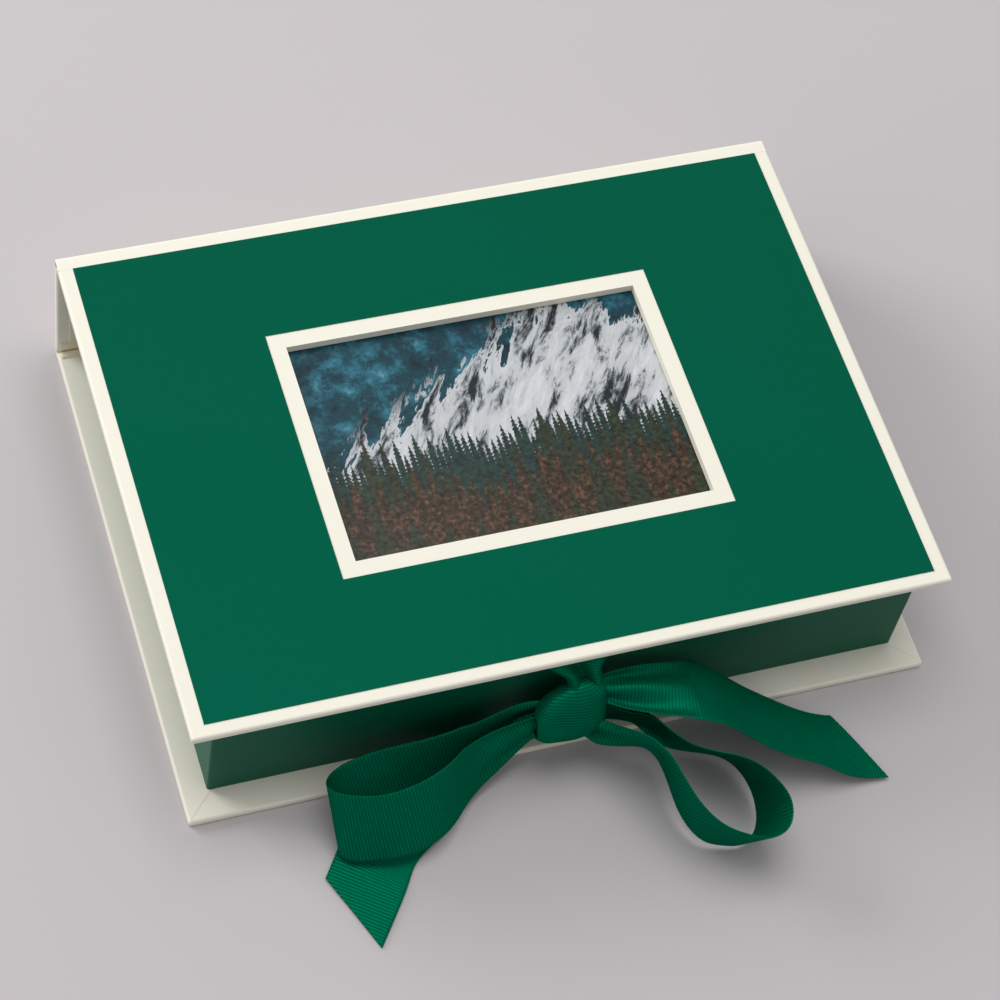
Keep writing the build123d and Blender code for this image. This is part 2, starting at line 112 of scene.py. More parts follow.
class StageSettings(bpy.types.PropertyGroup):
    floor_colour: bpy.props.FloatVectorProperty(
        name="Floor", description="Colour of the plain floor",
        subtype="COLOR", default=linear("#bfbabc"), min=0, max=1)
    camera_place: bpy.props.FloatVectorProperty(
        name="Camera", description="Where the camera stands",
        subtype="XYZ", unit="LENGTH", default=(-0.27069, -0.50998, 0.89344), precision=5)
    camera_heading: bpy.props.FloatProperty(
        name="Heading", description="Turn of the camera about the vertical, from looking along +Y",
        subtype="ANGLE", unit="ROTATION", default=math.radians(-28.47))
    camera_fall: bpy.props.FloatProperty(
        name="Fall", description="How far the camera looks down from level",
        subtype="ANGLE", unit="ROTATION", default=math.radians(56.93))
    camera_roll: bpy.props.FloatProperty(
        name="Roll", description="Turn of the camera about its line of sight",
        subtype="ANGLE", unit="ROTATION", default=math.radians(13.325))
    lens: bpy.props.FloatProperty(
        name="Lens", description="Focal length on a 36 mm wide sensor",
        subtype="DISTANCE_CAMERA", default=111.22, min=10, max=300)
    window_power: bpy.props.FloatProperty(
        name="Window light", description="Power of the large soft lamp behind the box's left",
        subtype="POWER", unit="POWER", default=25.5, min=0, max=200)
    ceiling_power: bpy.props.FloatProperty(
        name="Ceiling light", description="Power of the larger soft lamp overhead",
        subtype="POWER", unit="POWER", default=18.5, min=0, max=200)
    room_strength: bpy.props.FloatProperty(
        name="Room light", description="Strength of the even light all round",
        default=0.5, min=0, max=2)


# ---- mesh helpers ---------------------------------------------------------

def mm(*values):
    """Millimetres as metres."""
    return np.array(values, float) / 1000


def unit(vectors):
    """Vectors made one long: v / |v|."""
    return vectors / np.linalg.norm(vectors, axis=-1, keepdims=True)


def piece_from(name, points, faces, material, uv=None):
    """A smooth mesh object from an array of points and lists of faces, at the origin."""
    mesh = bpy.data.meshes.new(name)
    mesh.from_pydata(points.reshape(-1, 3), [], faces)
    mesh.polygons.foreach_set("use_smooth", np.ones(len(mesh.polygons), bool))
    if uv is not None:
        corner = np.zeros(len(mesh.loops), np.int32)
        mesh.loops.foreach_get("vertex_index", corner)
        layer = mesh.uv_layers.new(name="ribbon")
        layer.data.foreach_set("uv", uv.reshape(-1, 2)[corner].astype(np.float32).ravel())
    mesh.materials.append(material)
    mesh.validate()
    piece = bpy.data.objects.new(name, mesh)
    bpy.context.scene.collection.objects.link(piece)
    return piece


def thick_sheet(middle, half_thickness, closed=False):
    """A closed shell round a middle surface M: its two faces are M + hN and M - hN, with N the unit cross
    product of M's two gradients, and its rims stand h out from M's edges. Closed joins the last row to the
    first one."""
    rows = len(middle)
    wrapped = np.concatenate([middle[-1:], middle, middle[:1]]) if closed else middle
    along = np.gradient(wrapped, axis=0)[1:-1] if closed else np.gradient(wrapped, axis=0)
    across = np.gradient(middle, axis=1)
    normal = unit(np.cross(along, across))
    offset = normal * half_thickness[..., None]
    top, bottom = middle + offset, middle - offset
    left = middle[:, :1] - unit(middle[:, 1:2] - middle[:, :1]) * half_thickness[:, :1, None]
    right = middle[:, -1:] + unit(middle[:, -1:] - middle[:, -2:-1]) * half_thickness[:, -1:, None]
    ring = np.concatenate([left, top, right, bottom[:, ::-1], left], axis=1)
    around = ring.shape[1] - 1
    points = ring[:, :around]
    row, spot = np.meshgrid(np.arange(rows if closed else rows - 1), np.arange(around), indexing="ij")
    low, high = row * around, (row + 1) % rows * around
    after = (spot + 1) % around
    quads = np.stack([low + spot, low + after, high + after, high + spot], -1).reshape(-1, 4)
    faces = quads.tolist()
    if not closed:
        start = np.arange(around)
        faces += [start[::-1].tolist(), (start + (rows - 1) * around).tolist()]
    return points, faces


def ring_of(values):
    """A value per column of a sheet, laid out as thick_sheet's ring: left rim, top, right rim, bottom."""
    return np.concatenate([values[:, :1], values, values[:, -1:], values[:, ::-1]], axis=1)


def smooth_line(points, shares, at):
    """The cubic spline with natural ends through points at shares x. Its second derivatives m solve
    h0 m0 + 2 (h0 + h1) m1 + h1 m2 = 6 (slope after - slope before), and on a span of length h it is
    m0 (x1-x)^3 / 6h + m1 (x-x0)^3 / 6h + (p0/h - m0 h/6) (x1-x) + (p1/h - m1 h/6) (x-x0)."""
    count = len(shares)
    h = np.diff(shares)[:, None]
    slope = np.diff(points, axis=0) / h
    matrix = np.eye(count)
    inner = np.arange(1, count - 1)
    matrix[inner, inner - 1] = h[:-1, 0]
    matrix[inner, inner] = 2 * (h[:-1, 0] + h[1:, 0])
    matrix[inner, inner + 1] = h[1:, 0]
    right = np.zeros_like(points)
    right[1:-1] = 6 * (slope[1:] - slope[:-1])
    m = np.linalg.solve(matrix, right)
    span = np.clip(np.searchsorted(shares, at, side="right") - 1, 0, count - 2)
    x0, x1 = shares[span][:, None], shares[span + 1][:, None]
    h, x = x1 - x0, at[:, None]
    return (m[span] * (x1 - x) ** 3 / (6 * h) + m[span + 1] * (x - x0) ** 3 / (6 * h)
            + (points[span] / h - m[span] * h / 6) * (x1 - x)
            + (points[span + 1] / h - m[span + 1] * h / 6) * (x - x0))


def eased(share):
    """A soft step from 0 to 1: s^2 (3 - 2s)."""
    share = np.clip(share, 0, 1)
    return share * share * (3 - 2 * share)


# ---- ribbon ---------------------------------------------------------------
# Stations of the ribbons in millimetres: the middle of the width, then the way the ribs point.

left_loop_stations = [
    ((-9.0, -94.0, 26.5), (0, 1.5, 8)),
    ((-15.0, -92.6, 25.0), (0, 1.5, 8)),
    ((-26.5, -94.0, 17.6), (-3.3, 4.5, 15)),
    ((-38.0, -98.2, 16.4), (-4, 7.4, 20)),
    ((-51.0, -101.0, 15.0), (-5, 14, 20)),
    ((-66.8, -101.7, 12.2), (-4, 19.5, 15.3)),
    ((-75.6, -103.1, 11.3), (-4, 19.4, 15.4)),
    ((-82.2, -105.8, 11.4), (-3, 17.8, 17.4)),
    ((-84.8, -108.5, 12.2), (-1.4, 16.3, 19)),
    ((-83.4, -111.4, 13.0), (-1.7, 15.5, 19.6)),
    ((-79.0, -114.1, 14.3), (-2.8, 14.3, 20.4)),
    ((-72.8, -116.2, 15.6), (-3.6, 13.1, 21)),
    ((-59.2, -116.4, 17.4), (-4.5, 11.6, 21.8)),
    ((-47.5, -111.5, 17.9), (-4, 8.5, 23.2)),
    ((-39.3, -104.9, 17.2), (-5, 5, 24)),
    ((-26.3, -98.8, 19.1), (-6.9, 3, 17.5)),
    ((-18.3, -97.0, 22.0), (-4.3, 1, 11.3)),
    ((-13.8, -96.8, 23.6), (-2.6, 1, 8.3)),
    ((-9.0, -96.6, 24.8), (0, 1, 8)),
]

right_loop_stations = [
    ((1.0, -94.2, 22.8), (0, 0, 8)),
    ((7.5, -94.8, 20.0), (0, 0, 8)),
    ((16.3, -97.9, 19.5), (-2.3, -4.1, 11.6)),
    ((22.0, -102.9, 20.1), (-2, -4, 16.4)),
    ((27.1, -109.0, 19.3), (-2.9, -5.7, 20.5)),
    ((33.4, -113.9, 18.9), (-4.6, -8.8, 22.9)),
    ((40.4, -117.5, 19.0), (-4.8, -9.9, 22.4)),
    ((46.5, -121.2, 18.8), (-3.9, -9.2, 23)),
    ((51.0, -126.2, 17.7), (-1.6, -7.9, 23.7)),
    ((53.9, -132.6, 15.9), (1.4, -7.1, 24)),
    ((54.5, -139.8, 14.1), (4.7, -7.1, 23.5)),
    ((51.6, -145.7, 13.0), (4.8, -9.4, 22.8)),
    ((45.5, -148.3, 13.2), (3.4, -9.7, 23.3)),
    ((38.7, -146.8, 14.0), (2.8, -8.7, 23.3)),
    ((32.9, -144.0, 15.4), (1.9, -7.7, 23.7)),
    ((26.4, -133.9, 18.5), (0, -8.4, 23.5)),
    ((23.7, -121.6, 22.0), (-2.7, -8.5, 23.4)),
    ((19.2, -111.3, 24.2), (-2.8, -6.4, 17.4)),
    ((13.5, -106.5, 22.0), (-1.4, -3.1, 14.6)),
    ((6.8, -101.3, 19.0), (0, 1, 8)),
    ((0.5, -97.2, 20.8), (0, 3, 6)),
]

right_tail_stations = [
    ((6.0, -93.5, 34.2), (0, 6.3, 10.8)),
    ((17.3, -96.5, 34.8), (3.6, 16.9, 4.9)),
    ((27.0, -98.7, 34.5), (4.5, 20.9, -0.7)),
    ((35.9, -100.5, 33.2), (4.3, 23.2, -4.7)),
    ((43.3, -102.6, 30.3), (4, 23.9, -6.2)),
    ((55.2, -107.1, 21.8), (3.7, 23.8, -6.6)),
    ((66.4, -111.2, 14.3), (3.5, 23.9, -6.3)),
    ((80.3, -115.6, 7.1), (3, 23.6, -7)),
    ((88.8, -118.0, 3.5), (3.3, 24, -4)),
    ((95.5, -118.9, 2.0), (3.5, 24.5, -1.5)),
]

left_tail_stations = [
    ((-11.0, -95.0, 24.0), (0, 2, 5)),
    ((-19.0, -94.0, 15.8), (-2, 3, 6)),
    ((-27.0, -93.4, 9.6), (-3, 8, 4.5)),
    ((-36.0, -95.4, 5.2), (-5.5, 16, 2.6)),
    ((-45.0, -98.6, 3.9), (-9, 21.5, 2)),
    ((-57.5, -106.8, 2.1), (-12, 21.5, 2.0)),
    ((-68.2, -114.2, 1.3), (-14.5, 20, 0.6)),
    ((-75.5, -123.5, 1.2), (-18.5, 15.5, 0.2)),
    ((-84.9, -136.2, 0.8), (-19.7, 15.2, 0)),
]

loop_gathered = 0.032     # lengths from the knot over which each piece opens to its full width
left_tail_gathered = 0.052
right_tail_gathered = 0.032
knot_gather = 0.34        # share of the ribbon's width left where the knot grips it
tail_cut_run = 0.015      # one edge of a tail runs on past the other
selvage_share = 0.06      # share of the half width, at each edge, over which the ribs die out
columns_across = 31
rows_per_rib = 6
path_samples = 1200
path_step = 1e-4          # metres either side of a point, for the way the ribbon runs there


def ribbon_path(stations):
    """Fine points along a ribbon's middle, the unit rib directions there, and the lengths from the first."""
    middles = mm(*[middle for (middle, rib) in stations])
    ribs = np.array([rib for (middle, rib) in stations], float)
    chords = np.linalg.norm(np.diff(middles, axis=0), axis=1)
    shares = np.concatenate([[0], np.cumsum(chords)]) / chords.sum()
    at = np.linspace(0, 1, path_samples)
    line = smooth_line(middles, shares, at)
    length = np.concatenate([[0], np.cumsum(np.linalg.norm(np.diff(line, axis=0), axis=1))])
    return line, unit(smooth_line(ribs, shares, at)), length


def along_path(values, length, at):
    """A path's values at lengths `at`."""
    return np.stack([np.interp(at, length, values[:, axis]) for axis in range(3)], -1)


def point_on(line, length, at):
    """Points of a path at lengths `at`; past its end it runs straight on."""
    past = np.clip(at - length[-1], 0, None)[..., None]
    return along_path(line, length, at) + past * unit(line[-1] - line[-2])


def woven_strip(path, u, v, share, wave, folds, rib_share=1.0):
    """Grosgrain along a path C(u) with ribs R(u) and N = C' x R, narrowed to a share g of its width W:
    P(u, v) = C + g W/2 v R + A cos(folds pi v) N, for v from -1 to 1 across. A is the wave that takes up the
    width which g leaves over: wave g W/2 sqrt(2 (1/g^2 - 1)) / (folds pi).
    Each face stands off by half the thickness plus half the rib height times cos^2(pi u / pitch)."""
    ribbon = bpy.context.scene.box_ribbon
    line, ribs, length = path
    half = share * ribbon.width / 2
    centre = point_on(line, length, u)
    rib = unit(along_path(ribs, length, u))
    ahead = point_on(line, length, u + path_step) - point_on(line, length, u - path_step)
    normal = unit(np.cross(ahead, rib))
    fold = wave * half / (folds * math.pi) * np.sqrt(2 * (np.clip(1 / share, 1, 2) ** 2 - 1))
    middle = centre + (half * v)[..., None] * rib + (fold * np.cos(folds * math.pi * v))[..., None] * normal
    relief = ribbon.rib_height / 2 * np.cos(math.pi * u / ribbon.rib_pitch) ** 2
    points, faces = thick_sheet(middle, ribbon.thickness / 2 + relief * rib_share)
    uv = np.stack([ring_of(u), ring_of(v * ribbon.width / 2)], -1) * 1000
    return points, faces, uv, length[-1]


def strip_grid(total):
    """The grid of a strip: lengths u with a few rows to each rib, and v from -1 to 1 across."""
    rows = int(total / (bpy.context.scene.box_ribbon.rib_pitch / rows_per_rib))
    return np.meshgrid(np.linspace(0, total, rows), np.linspace(-1, 1, columns_across), indexing="ij")


def bow_surface(stations, knot_ends, gathered, cut_run=0.0, folds=1.5, wave=0.6):
    """A loop or a tail: its share of the width grows from knot_gather at the knot to 1 over the gathered
    length, and with a cut its rows lean, eased in before the end, until one edge leads by cut_run."""
    path = ribbon_path(stations)
    total = path[2][-1]
    u, v = strip_grid(total)
    if cut_run:
        u = u - v * eased(1 - (total - u) / (2 * cut_run)) * cut_run / 2
    from_knot = np.clip(u if knot_ends == 1 else np.minimum(u, total - u), 0, None)
    share = knot_gather + (1 - knot_gather) * np.clip(from_knot / gathered, 0, 1)
    selvage = 1 - np.clip((np.abs(v) - 1 + selvage_share) / selvage_share, 0, 1)
    return woven_strip(path, u, v, share, wave, folds, selvage)


def make_ribbon(name, surface, replaced, body="base"):
    """A ribbon piece in grosgrain, on its body, that stands for its plain CAD solid and hides it."""
    points, faces, uv, length = surface
    piece = piece_from(name, points, faces, grosgrain(), uv)
    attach(piece, body)
    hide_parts(replaced)


# ---- materials ------------------------------------------------------------

def add_node(material, kind, settings=None, **links):
    """One node with its settings and links. A setting names an attribute, or an input by its name or number.
    A link names an input, with _ for a space or as i and its number, and gives (node, output)."""
    node = material.node_tree.nodes.new(kind)
    for key, value in (settings or {}).items():
        if isinstance(key, str) and hasattr(node, key):
            setattr(node, key, value)
        else:
            node.inputs[key].default_value = value
    for key, (source, output) in links.items():
        numbered = key[0] == "i" and key[1:].isdigit()
        socket = node.inputs[int(key[1:]) if numbered else key.replace("_", " ")]
        material.node_tree.links.new(source.outputs[output], socket)
    return node


def new_material(name):
    """A material under that name, and whether it is new and still empty."""
    there = bpy.data.materials.get(name)
    if there:
        return there, False
    material = bpy.data.materials.new(name)
    material.use_nodes = True
    material.node_tree.nodes.clear()
    return material, True


def finish_material(material, shader):
    """Links the shader to the material's output."""
    out = add_node(material, "ShaderNodeOutputMaterial")
    material.node_tree.links.new(shader.outputs[0], out.inputs["Surface"])
    return material


def scaled(colour, share):
    """A colour made lighter or darker by a share."""
    return tuple(min(1, c * share) for c in colour) + (1,)


def paper(name, colour, roughness, specular, tooth, mottle, coat_tint=(1, 1, 1, 1)):
    """Paper: fibres about 0.5 mm long under a smooth size coat, so the colour clouds a little over 3 mm,
    and the surface has a fine even tooth that softens its highlight. A noise of scale s has spots about
    1/s metres wide."""
    material, fresh = new_material(name)
    if not fresh:
        return material
    place = add_node(material, "ShaderNodeTexCoord")
    cloud = add_node(material, "ShaderNodeTexNoise", {"Scale": 320.0, "Detail": 4.0, "Roughness": 0.6},
                     Vector=(place, "Object"))
    fibre = add_node(material, "ShaderNodeTexNoise", {"Scale": 2100.0, "Detail": 3.0, "Roughness": 0.7},
                     Vector=(place, "Object"))
    mixed = add_node(material, "ShaderNodeMix",
                     {"data_type": "RGBA", 6: scaled(colour, 1 - mottle), 7: scaled(colour, 1 + mottle)},
                     i0=(cloud, "Fac"))
    bump = add_node(material, "ShaderNodeBump", {"Strength": 0.35, "Distance": tooth}, Height=(fibre, "Fac"))
    shader = add_node(material, "ShaderNodeBsdfPrincipled",
                      {"Roughness": roughness, "Specular IOR Level": specular, "Specular Tint": coat_tint},
                      Base_Color=(mixed, 2), Normal=(bump, "Normal"))
    return finish_material(material, shader)


def cover_paper():
    """Cream wove cover paper, calendered: matt, warm, with a faint tooth."""
    colour = bpy.context.scene.box_paper.cover_colour
    return paper("cream_wove_cover_paper", colour, roughness=0.62, specular=0.25, tooth=0.00004, mottle=0.02)


def green_paper():
    """Deep green dyed paper with a satin coat, dyed too: a soft green highlight and hardly any tooth."""
    colour = bpy.context.scene.box_paper.green_colour
    return paper("green_satin_coated_paper", colour, roughness=0.42, specular=0.22, tooth=0.000015,
                 mottle=0.03, coat_tint=(0.02, 0.9, 0.7, 1))


def lining_paper():
    """Ivory lining paper, uncoated: matt and a shade warmer than the cover."""
    colour = bpy.context.scene.box_paper.lining_colour
    return paper("ivory_lining_paper", colour, roughness=0.75, specular=0.3, tooth=0.00005, mottle=0.025)


def grey_board():
    """Recycled greyboard, pressed from pulp: grey-brown, with darker and paler flecks under 1 mm."""
    material, fresh = new_material("recycled_greyboard")
    if not fresh:
        return material
    colour = bpy.context.scene.box_paper.board_colour
    place = add_node(material, "ShaderNodeTexCoord")
    fleck = add_node(material, "ShaderNodeTexNoise", {"Scale": 1500.0, "Detail": 5.0, "Roughness": 0.75},
                     Vector=(place, "Object"))
    mixed = add_node(material, "ShaderNodeMix",
                     {"data_type": "RGBA", 6: scaled(colour, 0.6), 7: scaled(colour, 1.35)},
                     i0=(fleck, "Fac"))
    bump = add_node(material, "ShaderNodeBump", {"Strength": 0.6, "Distance": 0.0001}, Height=(fleck, "Fac"))
    shader = add_node(material, "ShaderNodeBsdfPrincipled", {"Roughness": 0.9, "Specular IOR Level": 0.25},
                      Base_Color=(mixed, 2), Normal=(bump, "Normal"))
    return finish_material(material, shader)


drawn_warp_pitch = 0.4    # millimetres


def grosgrain():
    """Polyester grosgrain, woven with thick crosswise ribs. The ribs stand out in the mesh and in a bump, and
    the base colour is painted as well: lighter on each rib's crest, a painted highlight, and darker in the
    hollows between the ribs, painted shade. Its gloss comes from inside the dyed threads and is green, so it
    is set as part metallic in place of a white coat. The warp threads, really 0.15 mm apart, are drawn 0.4 mm
    apart so that they show."""
    material, fresh = new_material("polyester_grosgrain")
    if not fresh:
        return material
    ribbon = bpy.context.scene.box_ribbon
    uv = add_node(material, "ShaderNodeUVMap", {"uv_map": "ribbon"})
    split = add_node(material, "ShaderNodeSeparateXYZ", Vector=(uv, "UV"))
    rib_turn = 2 * math.pi / (ribbon.rib_pitch * 1000)
    along = add_node(material, "ShaderNodeMath", {"operation": "MULTIPLY", 1: rib_turn}, i0=(split, "X"))
    crest = add_node(material, "ShaderNodeMath", {"operation": "COSINE"}, i0=(along, 0))
    rib = add_node(material, "ShaderNodeMapRange", {"From Min": -1.0, "From Max": 1.0}, Value=(crest, 0))
    warp_turn = 2 * math.pi / drawn_warp_pitch
    across = add_node(material, "ShaderNodeMath", {"operation": "MULTIPLY", 1: warp_turn}, i0=(split, "Y"))
    warp = add_node(material, "ShaderNodeMath", {"operation": "SINE"}, i0=(across, 0))
    cloud = add_node(material, "ShaderNodeTexNoise", {"Scale": 0.35, "Detail": 3.0}, Vector=(uv, "UV"))
    # Painted highlight and painted shade: the base colour runs from 0.62 of the ribbon colour in the rib
    # hollows to 1.1 on the rib crests.
    colour = add_node(material, "ShaderNodeMix",
                      {"data_type": "RGBA", 6: scaled(ribbon.colour, 0.62), 7: scaled(ribbon.colour, 1.1)},
                      i0=(rib, "Result"))
    # A faint random cloud over the painted rib highlight and shade.
    clouded_rib_light_and_shade = add_node(material, "ShaderNodeMix", {"data_type": "RGBA", "blend_type": "MULTIPLY", 0: 0.25},
                       i6=(colour, 2), i7=(cloud, "Color"))
    round_rib = add_node(material, "ShaderNodeBump", {"Strength": 1.0, "Distance": 0.00008},
                         Height=(rib, "Result"))
    bump = add_node(material, "ShaderNodeBump", {"Strength": 0.3, "Distance": 0.00004}, Height=(warp, 0),
                    Normal=(round_rib, "Normal"))
    shader = add_node(material, "ShaderNodeBsdfPrincipled",
                      {"Roughness": 0.38, "Specular IOR Level": 0, "Metallic": 0.4,
                       "Specular Tint": (0.02, 1, 0.7, 1)},
                      Base_Color=(clouded_rib_light_and_shade, 2), Normal=(bump, "Normal"))
    return finish_material(material, shader)


def ramp_node(material, stops, source):
    """A colour ramp over a node's first output; each stop is its place and its hex colour."""
    node = add_node(material, "ShaderNodeValToRGB", i0=(source, 0))
    (first, last) = node.color_ramp.elements
    first.position, first.color = stops[0][0], (*linear(stops[0][1]), 1)
    last.position, last.color = stops[-1][0], (*linear(stops[-1][1]), 1)
    for (at, colour) in stops[1:-1]:
        node.color_ramp.elements.new(at).color = (*linear(colour), 1)
    return node


fir_tier = 1.6            # millimetres from one tier of branches to the next


def fir_row(material, split, spacing, foot, height, slim):
    """A mask of firs in a row, one per spacing along x, their tips at foot + height times a chance value:
    inside where the distance from the trunk is below slim times the depth t under the tip, cut into tiers
    by 0.55 + 0.9 fract(t / fir_tier). Millimetres on the print."""
    row = add_node(material, "ShaderNodeMath", {"operation": "DIVIDE", 1: spacing}, i0=(split, "X"))
    number = add_node(material, "ShaderNodeMath", {"operation": "FLOOR"}, i0=(row, 0))
    chance = add_node(material, "ShaderNodeTexWhiteNoise", {"noise_dimensions": "1D"}, W=(number, 0))
    inside = add_node(material, "ShaderNodeMath", {"operation": "PINGPONG", 1: 0.5}, i0=(row, 0))
    trunk = add_node(material, "ShaderNodeMath", {"operation": "MULTIPLY_ADD", 1: -spacing, 2: spacing / 2},
                     i0=(inside, 0))
    tip = add_node(material, "ShaderNodeMath", {"operation": "MULTIPLY_ADD", 1: height, 2: foot},
                   i0=(chance, "Value"))
    depth = add_node(material, "ShaderNodeMath", {"operation": "SUBTRACT"}, i0=(tip, 0), i1=(split, "Y"))
    tier = add_node(material, "ShaderNodeMath", {"operation": "MULTIPLY", 1: 1 / fir_tier}, i0=(depth, 0))
    part = add_node(material, "ShaderNodeMath", {"operation": "FRACT"}, i0=(tier, 0))
    spread = add_node(material, "ShaderNodeMath",
                      {"operation": "MULTIPLY_ADD", 1: 0.9 * slim, 2: 0.55 * slim}, i0=(part, 0))
    reach = add_node(material, "ShaderNodeMath", {"operation": "MULTIPLY"}, i0=(spread, 0), i1=(depth, 0))
    return add_node(material, "ShaderNodeMath", {"operation": "LESS_THAN"}, i0=(trunk, 0), i1=(reach, 0))


def photo_paper():
    """Glossy photo paper with a generic mountain view, in millimetres on the print: a pale cracked shoulder
    where y + 0.55 |x - 34| + 90 crack < 95, so its edge is torn by its own cracks, a blue-green haze beside
    it, and rows of firs over brown undergrowth."""
    material, fresh = new_material("glossy_photo_paper")
    if not fresh:
        return material
    place = add_node(material, "ShaderNodeTexCoord")
    sheet = add_node(material, "ShaderNodeMapping", {"Scale": (1000, 1000, 1000)}, Vector=(place, "Object"))
    ragged = add_node(material, "ShaderNodeTexNoise", {"Scale": 0.9, "Detail": 4.0, "Roughness": 0.7},
                      Vector=(sheet, "Vector"))
    torn = add_node(material, "ShaderNodeVectorMath", {"operation": "MULTIPLY_ADD", 1: (1.1, 0.7, 0)},
                    i0=(ragged, "Color"), i2=(sheet, "Vector"))
    split = add_node(material, "ShaderNodeSeparateXYZ", Vector=(torn, "Vector"))
    grain = add_node(material, "ShaderNodeMapping",
                     {"vector_type": "TEXTURE", "Rotation": (0, 0, math.radians(57)), "Scale": (19, 5.5, 1)},
                     Vector=(sheet, "Vector"))
    crack = add_node(material, "ShaderNodeTexNoise",
                     {"Scale": 1.0, "Detail": 10.0, "Roughness": 0.68, "Distortion": 0.35},
                     Vector=(grain, "Vector"))
    rock = ramp_node(material, [(0.4, "#1f2326"), (0.45, "#7b8186"), (0.485, "#b3b6b9"), (0.68, "#d3d5d8")],
                     crack)
    mist = add_node(material, "ShaderNodeTexNoise", {"Scale": 0.12, "Detail": 7.0, "Roughness": 0.7},
                    Vector=(sheet, "Vector"))
    haze = ramp_node(material, [(0.34, "#0a2129"), (0.5, "#123f4c"), (0.62, "#2b6a7c"), (0.78, "#6f9eac")],
                     mist)
    brush = add_node(material, "ShaderNodeTexNoise", {"Scale": 0.55, "Detail": 6.0, "Roughness": 0.8},
                     Vector=(sheet, "Vector"))
    far_wood = ramp_node(material, [(0.36, "#0c1a1a"), (0.6, "#28403a")], brush)
    near_wood = ramp_node(material, [(0.36, "#0b0d0a"), (0.62, "#3a4230")], brush)
    bracken = ramp_node(material, [(0.36, "#15100c"), (0.52, "#3d2f22"), (0.66, "#7a5640")], brush)
    aside = add_node(material, "ShaderNodeMath", {"operation": "ADD", 1: -34.0}, i0=(split, "X"))
    away = add_node(material, "ShaderNodeMath", {"operation": "ABSOLUTE"}, i0=(aside, 0))
    ridge = add_node(material, "ShaderNodeMath", {"operation": "MULTIPLY_ADD", 1: 0.55}, i0=(away, 0),
                     i2=(split, "Y"))
    crag = add_node(material, "ShaderNodeMath", {"operation": "MULTIPLY_ADD", 1: 90.0}, i0=(crack, 0),
                    i2=(ridge, 0))
    peak = add_node(material, "ShaderNodeMath", {"operation": "LESS_THAN", 1: 95.0}, i0=(crag, 0))
    view = add_node(material, "ShaderNodeMix", {"data_type": "RGBA"}, i0=(peak, 0), i6=(haze, 0),
                    i7=(rock, 0))
    # Spacing, foot, height and slimness of each row, from the farthest to the nearest.
    rows = [(fir_row(material, split, 2.3, -2.0, 9.0, 0.17), far_wood),
            (fir_row(material, split, 6.1, -14.0, 24.0, 0.15), near_wood),
            (fir_row(material, split, 4.3, -18.0, 12.0, 0.2), bracken),
            (fir_row(material, split, 11.0, -30.0, 22.0, 0.2), near_wood)]
    for (mask, wood) in rows:
        view = add_node(material, "ShaderNodeMix", {"data_type": "RGBA"}, i0=(mask, 0), i6=(view, 2),
                        i7=(wood, 0))
    shader = add_node(material, "ShaderNodeBsdfPrincipled", {"Roughness": 0.25, "Specular IOR Level": 0.25},
                      Base_Color=(view, 2))
    return finish_material(material, shader)


def studio_floor():
    """A plain matt floor, painted board: faint clouding over a hand's width and nothing else."""
    material, fresh = new_material("matt_studio_floor")
    if not fresh:
        return material
    colour = bpy.context.scene.box_stage.floor_colour
    place = add_node(material, "ShaderNodeTexCoord")
    cloud = add_node(material, "ShaderNodeTexNoise", {"Scale": 9.0, "Detail": 2.0}, Vector=(place, "Object"))
    mixed = add_node(material, "ShaderNodeMix",
                     {"data_type": "RGBA", 6: scaled(colour, 0.985), 7: scaled(colour, 1.015)},
                     i0=(cloud, "Fac"))
    shader = add_node(material, "ShaderNodeBsdfPrincipled", {"Roughness": 0.85, "Specular IOR Level": 0.2},
                      Base_Color=(mixed, 2))
    return finish_material(material, shader)


def dress(material, *names):
    """Gives CAD nodes a finish in their own material slots."""
    for name in names:
        slots = nodes[name].material_slots
        if not slots:
            nodes[name].data.materials.append(material)
        for slot in slots:
            slot.material = material


# ---- operators ------------------------------------------------------------

class BoxOperator:
    """What the operators share."""
    bl_options = {"REGISTER", "UNDO"}


class BOX_OT_boards(BoxOperator, bpy.types.Operator):
    """Finish the boards as greyboard"""
    bl_idname = "photobox.boards"
    bl_label = "Grey boards"

    def execute(self, context):
        dress(grey_board(), "base_board", "spine_board", "lid_board", "pocket_spacer", "tray_floor_board",
              "tray_front_wall", "tray_back_wall", "tray_left_wall", "tray_right_wall")
        return {"FINISHED"}


class BOX_OT_cover(BoxOperator, bpy.types.Operator):
    """Finish the papers of the cover and of the linings"""
    bl_idname = "photobox.cover"
    bl_label = "Cover and lining papers"

    def execute(self, context):
        dress(cover_paper(), "base_cover_paper", "spine_cover_paper", "lid_cover_paper")
        dress(lining_paper(), "base_infill_sheet", "spine_liner_paper", "lid_liner_paper", "pocket_backing",
              "tray_wall_lining", "tray_floor_lining")
        return {"FINISHED"}


class BOX_OT_green(BoxOperator, bpy.types.Operator):
    """Finish the lid's panel and the tray's outside as green paper"""
    bl_idname = "photobox.green"
    bl_label = "Green papers"

    def execute(self, context):
        dress(green_paper(), "lid_panel_paper", "tray_cover_paper")
        return {"FINISHED"}


class BOX_OT_print(BoxOperator, bpy.types.Operator):
    """Finish the print behind the window"""
    bl_idname = "photobox.print"
    bl_label = "Print"

    def execute(self, context):
        dress(photo_paper(), "photo_print")
        return {"FINISHED"}


# ---- joints ---------------------------------------------------------------
# The joint papers' lines lie in the YZ plane. Each is set out from the axis of its own hinge, the pivot.

